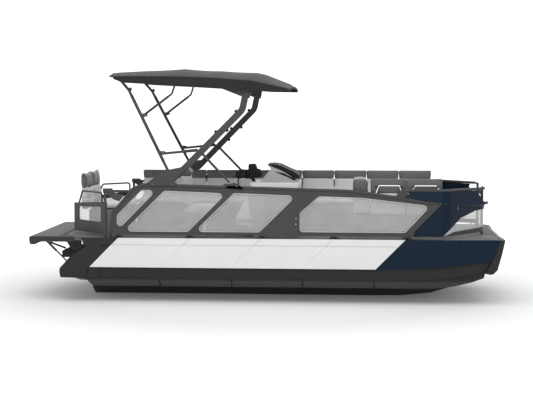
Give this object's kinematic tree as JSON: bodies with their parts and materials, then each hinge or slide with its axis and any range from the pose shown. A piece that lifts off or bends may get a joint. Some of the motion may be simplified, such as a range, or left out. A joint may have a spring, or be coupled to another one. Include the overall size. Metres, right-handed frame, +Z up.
{
  "type": "pontoon boat",
  "caption": "Pontoon boat with a deeper centre hull, water-jet drive, panelled fence, lounges, handlebar helm, swim platform and soft top on a raked tower.",
  "frame": {"origin": "on the floor below the middle of the overall length, at the centre line", "axes": "+X towards the bow, +Y to port, +Z up"},
  "size_m": [6.898, 2.5, 3.392],
  "materials": {
    "hull": "moulded dark grey polyethylene",
    "white_panel": "gloss white moulded panel",
    "navy_panel": "gloss navy moulded panel",
    "dark_plastic": "textured dark grey plastic",
    "frame": "satin dark grey powder coat",
    "mesh": "light grey woven screen",
    "deck": "grey deck panel",
    "deck_mat": "grey foam deck mat",
    "aluminium": "brushed marine aluminium",
    "jet": "cast jet pump alloy",
    "impeller": "stainless steel",
    "engine": null,
    "seat": "light grey marine vinyl",
    "base": "light grey moulded base",
    "glazing": "clear acrylic",
    "console": "grey moulded console",
    "black": "black grips and pads",
    "canvas": "dark grey acrylic canvas"
  },
  "bodies": {
    "root": {"pontoon_port": "hull", "pontoon_starboard": "hull", "side_panels": "white_panel", "bow_panels": "navy_panel", "stern_quarters": "hull", "bow_trims": "hull", "centre_hull": "hull", "stern_step": "dark_plastic", "engine_block": "engine", "jet_pump": "jet", "cross_beams": "aluminium", "deck": "deck", "deck_mat": "deck_mat", "bow_cap": "navy_panel", "swim_platform": "dark_plastic", "platform_braces": "frame", "fence_rails": "frame", "fence_port": "frame", "fence_starboard": "frame", "fence_mesh": "mesh", "bow_sill": "frame", "bow_fence": "navy_panel", "bow_windows": "glazing", "bow_cowl": "navy_panel", "bow_rails": "frame", "port_lounge_base": "base", "port_lounge_backs": "seat", "starboard_lounge_base": "base", "starboard_lounge_backs": "seat", "rear_bench_base": "base", "rear_bench_back": "seat", "helm_console": "console", "helm_hood": "console", "helm_pedestal": "aluminium", "tower_feet": "frame", "grab_handles": "aluminium", "deck_cleats": "aluminium"},
    "handlebar": {"handlebar": "black"},
    "nozzle": {"steering_nozzle": "jet"},
    "bucket": {"reverse_bucket": "jet"},
    "impeller": {"impeller": "impeller"},
    "gate_port": {"rear_gate_port": "frame", "rear_gate_mesh_port": "mesh"},
    "gate_starboard": {"rear_gate_starboard": "frame", "rear_gate_mesh_starboard": "mesh"},
    "gate_bow": {"bow_gate": "frame", "bow_gate_mesh": "mesh"},
    "ladder": {"boarding_ladder": "aluminium"},
    "lid_port_aft": {"port_seat_aft": "seat"},
    "lid_port_middle": {"port_seat_middle": "seat"},
    "lid_port_bow": {"port_seat_bow": "seat"},
    "lid_starboard": {"starboard_seat": "seat"},
    "lid_bench": {"rear_bench_seat": "seat"},
    "helm_chair": {"helm_seat": "seat"},
    "tower": {"tower_arms": "frame", "tower_struts": "frame", "roof_frame": "frame", "soft_top": "canvas"}
  },
  "joints": [
    {"name": "steering", "type": "hinge", "parent": "root", "child": "handlebar", "pos_m": [-0.15818, -0.62, 1.705], "axis": [-0.5, 0, 0.866], "range_deg": [-30, 30]},
    {"name": "jet_steering", "type": "hinge", "parent": "root", "child": "nozzle", "pos_m": [-2.84, 0, 0.23], "axis": [0, 0, 1], "range_deg": [-24, 24]},
    {"name": "reverse_bucket", "type": "hinge", "parent": "nozzle", "child": "bucket", "pos_m": [-2.9, 0, 0.23], "axis": [0, -1, 0], "range_deg": [0, 75]},
    {"name": "impeller_spin", "type": "hinge", "parent": "root", "child": "impeller", "pos_m": [-2.62, 0, 0.23], "axis": [1, 0, 0], "continuous": true},
    {"name": "rear_gate_port_hinge", "type": "hinge", "parent": "root", "child": "gate_port", "pos_m": [-2.285, 1.19, 0.985], "axis": [0, 0, -1], "range_deg": [0, 80]},
    {"name": "rear_gate_starboard_hinge", "type": "hinge", "parent": "root", "child": "gate_starboard", "pos_m": [-2.285, -1.19, 0.985], "axis": [0, 0, 1], "range_deg": [0, 80]},
    {"name": "bow_gate_hinge", "type": "hinge", "parent": "root", "child": "gate_bow", "pos_m": [3.19, 0.364, 0.985], "axis": [0, 0, -1], "range_deg": [0, 95]},
    {"name": "ladder_fold", "type": "hinge", "parent": "root", "child": "ladder", "pos_m": [-3.224, 0.58, 0.826], "axis": [0, 1, 0], "range_deg": [0, 100]},
    {"name": "port_seat_aft_lid", "type": "hinge", "parent": "root", "child": "lid_port_aft", "pos_m": [-1.3375, 0.984, 1.385], "axis": [-1, 0, 0], "range_deg": [0, 80]},
    {"name": "port_seat_middle_lid", "type": "hinge", "parent": "root", "child": "lid_port_middle", "pos_m": [0.2075, 0.984, 1.385], "axis": [-1, 0, 0], "range_deg": [0, 80]},
    {"name": "port_seat_bow_lid", "type": "hinge", "parent": "root", "child": "lid_port_bow", "pos_m": [1.7525, 0.984, 1.385], "axis": [-1, 0, 0], "range_deg": [0, 80]},
    {"name": "starboard_seat_lid", "type": "hinge", "parent": "root", "child": "lid_starboard", "pos_m": [2.045, -0.984, 1.385], "axis": [1, 0, 0], "range_deg": [0, 80]},
    {"name": "bench_lid", "type": "hinge", "parent": "root", "child": "lid_bench", "pos_m": [-2.654, 0, 1.385], "axis": [0, -1, 0], "range_deg": [0, 80]},
    {"name": "helm_swivel", "type": "hinge", "parent": "root", "child": "helm_chair", "pos_m": [-0.8999, -0.62, 1.265], "axis": [0, 0, 1], "continuous": true},
    {"name": "tower_fold", "type": "hinge", "parent": "root", "child": "tower", "pos_m": [-1.22, 0, 1.8499], "axis": [0, -1, 0], "range_deg": [0, 40]}
  ],
  "couplings": [
    {"joint": "jet_steering", "follows": "steering", "ratio": -0.8}
  ]
}
